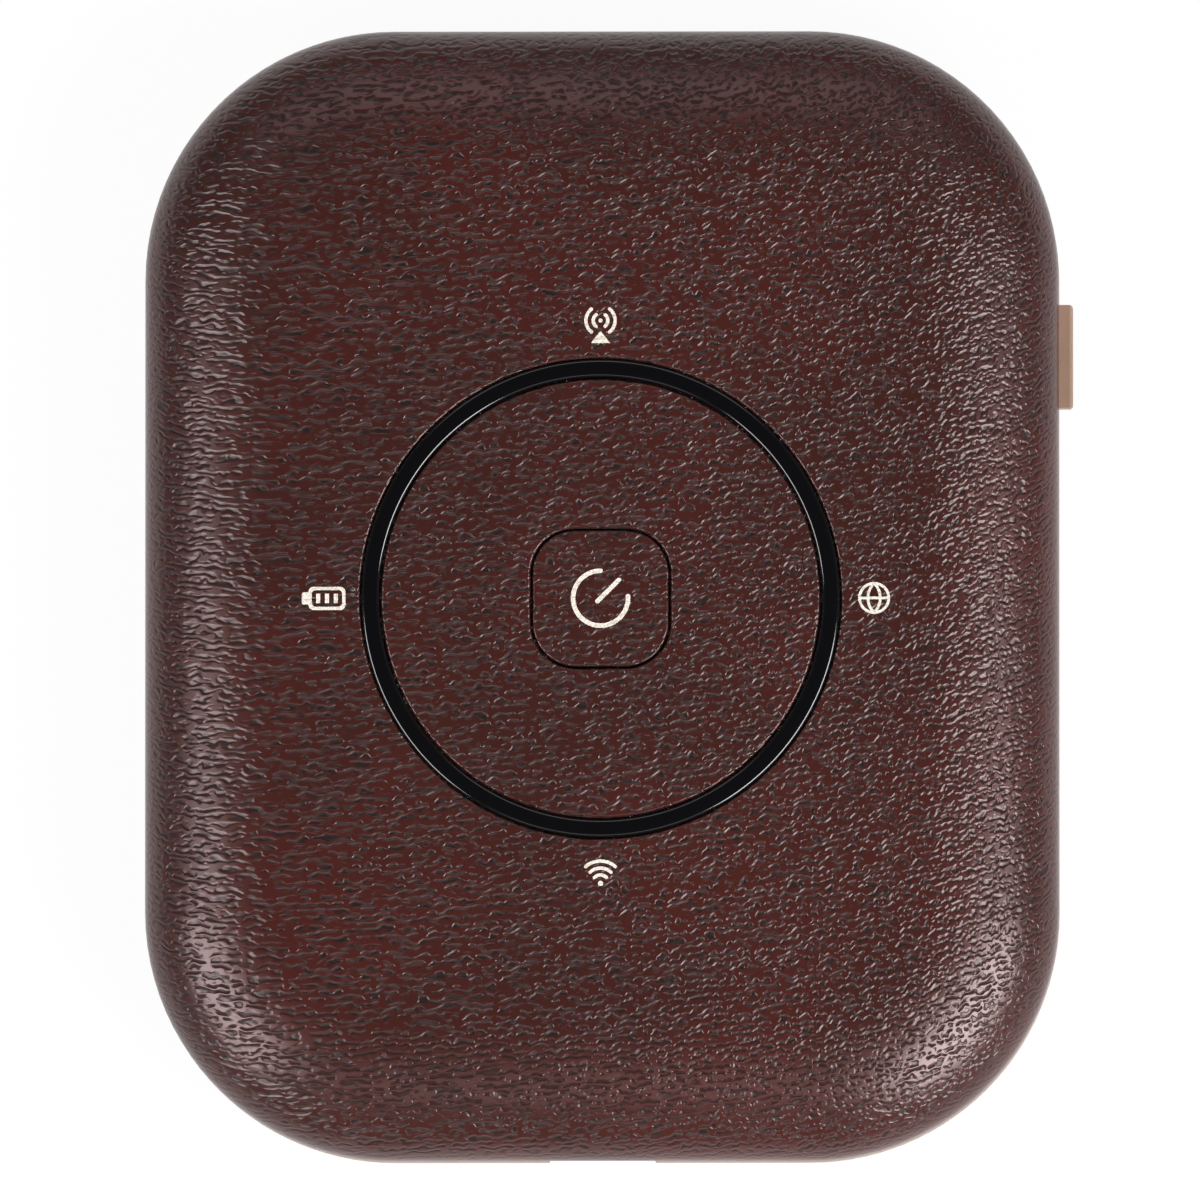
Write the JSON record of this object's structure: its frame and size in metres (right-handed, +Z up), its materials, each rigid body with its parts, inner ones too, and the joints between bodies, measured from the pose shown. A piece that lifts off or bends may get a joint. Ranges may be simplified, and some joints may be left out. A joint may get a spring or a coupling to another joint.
{
  "type": "mobile hotspot",
  "caption": "Rounded pocket hotspot: leather-grain covers on a tan band, black ring round a square power button, side key, charging port, removable back, battery and card inside.",
  "frame": {"origin": "centre of the flat back face that the hotspot lies on", "axes": "+Z up through the front with the button, +Y along the length away from the charging port, +X towards the side key"},
  "size_m": [0.0863, 0.1052, 0.0178],
  "materials": {
    "cover_brown": "brown with a moulded leather grain, satin",
    "band_tan": "tan, satin",
    "trim_black": "black, high gloss",
    "sign_white": "warm white",
    "clear_guide": "clear",
    "chassis_black": "black, fine matte",
    "board_green": "green solder mask",
    "shield_steel": "tinned",
    "chip_black": "black moulding",
    "pad_grey": "soft grey pad",
    "component_tan": "ceramic tan",
    "lamp_white": "white diode",
    "switch_black": "black moulding",
    "plunger_white": "white moulding",
    "port_steel": "drawn steel",
    "tongue_black": "black moulding",
    "contact_gold": "gold plated",
    "card_white": "plain white",
    "battery_silver": "laminated foil",
    "foam_black": "black foam",
    "spreader_grey": "dark grey sheet",
    "flex_amber": "amber flexible film",
    "screw_steel": "plated"
  },
  "bodies": {
    "hotspot": {"antenna_springs": "contact_gold", "back_cover": "cover_brown", "battery_pack": "battery_silver", "battery_pad": "foam_black", "battery_sign": "sign_white", "battery_terminals": "contact_gold", "board_passives": "component_tan", "board_screws": "screw_steel", "card_socket": "shield_steel", "case_screws": "screw_steel", "frame_band": "band_tan", "front_cover": "cover_brown", "heat_spreader": "spreader_grey", "hotspot_sign": "sign_white", "inner_chassis": "chassis_black", "light_guides": "clear_guide", "main_antenna": "flex_amber", "main_board": "board_green", "memory_chip": "chip_black", "modem_chip": "chip_black", "modem_shield": "shield_steel", "network_sign": "sign_white", "port_contacts": "contact_gold", "port_shell": "port_steel", "port_tongue": "tongue_black", "power_chip": "chip_black", "power_lamp": "lamp_white", "power_shield": "shield_steel", "power_switch": "switch_black", "radio_chip": "chip_black", "radio_shield": "shield_steel", "reset_switch": "switch_black", "ring_trim": "trim_black", "second_antenna": "flex_amber", "side_switch": "switch_black", "status_lamps": "lamp_white", "terminal_block": "chassis_black", "thermal_pads": "pad_grey", "wireless_antenna_left": "flex_amber", "wireless_antenna_right": "flex_amber", "wireless_chip": "chip_black", "wireless_shield": "shield_steel", "wireless_sign": "sign_white"},
    "power_button": {"power_button": "cover_brown", "power_sign": "sign_white", "button_light_guide": "clear_guide", "power_plunger": "plunger_white"},
    "side_key": {"side_key": "band_tan", "side_plunger": "plunger_white"},
    "reset_plunger": {"reset_plunger": "plunger_white"},
    "network_card": {"network_card": "card_white"}
  },
  "joints": [
    {"name": "power_button_press", "type": "slide", "parent": "hotspot", "child": "power_button", "axis": [0, 0, -1], "range_m": [0, 0.00035], "stiffness_N_per_m": 4000},
    {"name": "side_key_press", "type": "slide", "parent": "hotspot", "child": "side_key", "axis": [-1, 0, 0], "range_m": [0, 0.0003], "stiffness_N_per_m": 4000},
    {"name": "reset_press", "type": "slide", "parent": "hotspot", "child": "reset_plunger", "axis": [0, 0, 1], "range_m": [0, 0.00025], "stiffness_N_per_m": 4000},
    {"name": "network_card_slide", "type": "slide", "parent": "hotspot", "child": "network_card", "axis": [0, -1, 0], "range_m": [0, 0.012]}
  ]
}
